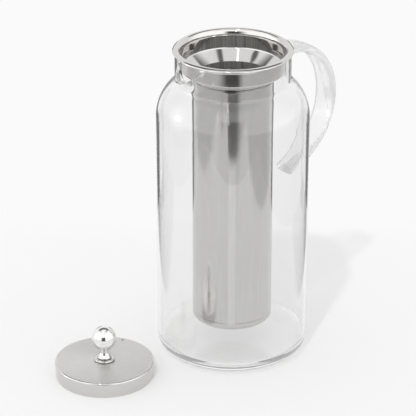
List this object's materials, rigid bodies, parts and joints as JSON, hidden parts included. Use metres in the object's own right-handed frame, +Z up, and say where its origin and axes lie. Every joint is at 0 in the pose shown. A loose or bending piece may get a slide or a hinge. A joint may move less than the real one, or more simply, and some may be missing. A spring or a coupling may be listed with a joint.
{
  "type": "infusion jug",
  "caption": "Clear glass jug with a strap handle and a drawn pouring lip, a lift-out steel infuser hung by its flange, and a loose steel lid with a ball knob lying beside it.",
  "frame": {"origin": "centre of the jug's flat base, on the table it stands on", "axes": "+X towards the handle, -X towards the pouring lip, +Z up along the jug's own axis, +Y across the handle"},
  "size_m": [0.2565, 0.1284, 0.2561],
  "materials": {
    "clear_glass": "clear, fire polished",
    "polished_steel": "mirror polished stainless steel",
    "etched_steel": "fine matt stainless steel",
    "satin_steel": "satin stainless steel"
  },
  "bodies": {
    "jug": {"glass_floor": "clear_glass", "glass_body": "clear_glass", "glass_shoulder": "clear_glass", "glass_neck": "clear_glass", "glass_handle": "clear_glass"},
    "infuser": {"infuser_collar": "polished_steel", "infuser_tube": "etched_steel", "infuser_base": "satin_steel"},
    "lid": {"lid_shell": "polished_steel", "knob_foot": "polished_steel", "knob_stem": "polished_steel", "knob_ball": "polished_steel", "knob_washer": "polished_steel", "knob_screw": "polished_steel"}
  },
  "joints": [
    {"name": "infuser_lift", "type": "slide", "parent": "jug", "child": "infuser", "axis": [0, 0, 1], "range_m": [0, 0.24]},
    {"name": "lid_lift", "type": "slide", "parent": "jug", "child": "lid", "axis": [0, 0, 1], "range_m": [0, 0.27]}
  ]
}
